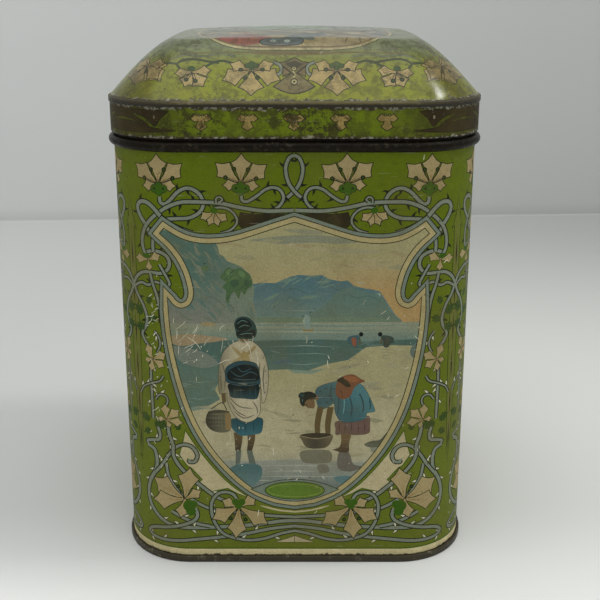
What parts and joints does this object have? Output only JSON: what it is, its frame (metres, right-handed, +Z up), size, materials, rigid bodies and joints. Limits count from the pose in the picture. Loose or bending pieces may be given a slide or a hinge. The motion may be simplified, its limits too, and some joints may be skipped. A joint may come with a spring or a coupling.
{
  "type": "square tea tin",
  "caption": "Square printed tinplate tin with rounded corners, a stop bead below the neck and a lift-off domed lid.",
  "frame": {"origin": "middle of the footprint, on the plane the base seam stands on", "axes": "+Z up through the lid, -Y out of the front picture panel, +X to the right as seen from the front"},
  "size_m": [0.105, 0.105, 0.1536],
  "materials": {
    "printed_body": "lithographed tinplate under aged varnish, scratched and rubbed at the edges",
    "printed_lid": "lithographed tinplate, worn to brown and bare metal along the skirt",
    "bare_tinplate": "dull tarnished tinplate with rust freckles"
  },
  "bodies": {
    "body": {"body_wall": "printed_body", "base_panel": "bare_tinplate"},
    "lid": {"lid_skirt": "printed_lid", "lid_top": "printed_lid"}
  },
  "joints": [
    {"name": "lid_lift", "type": "slide", "parent": "body", "child": "lid", "axis": [0, 0, 1], "range_m": [0, 0.06]}
  ]
}
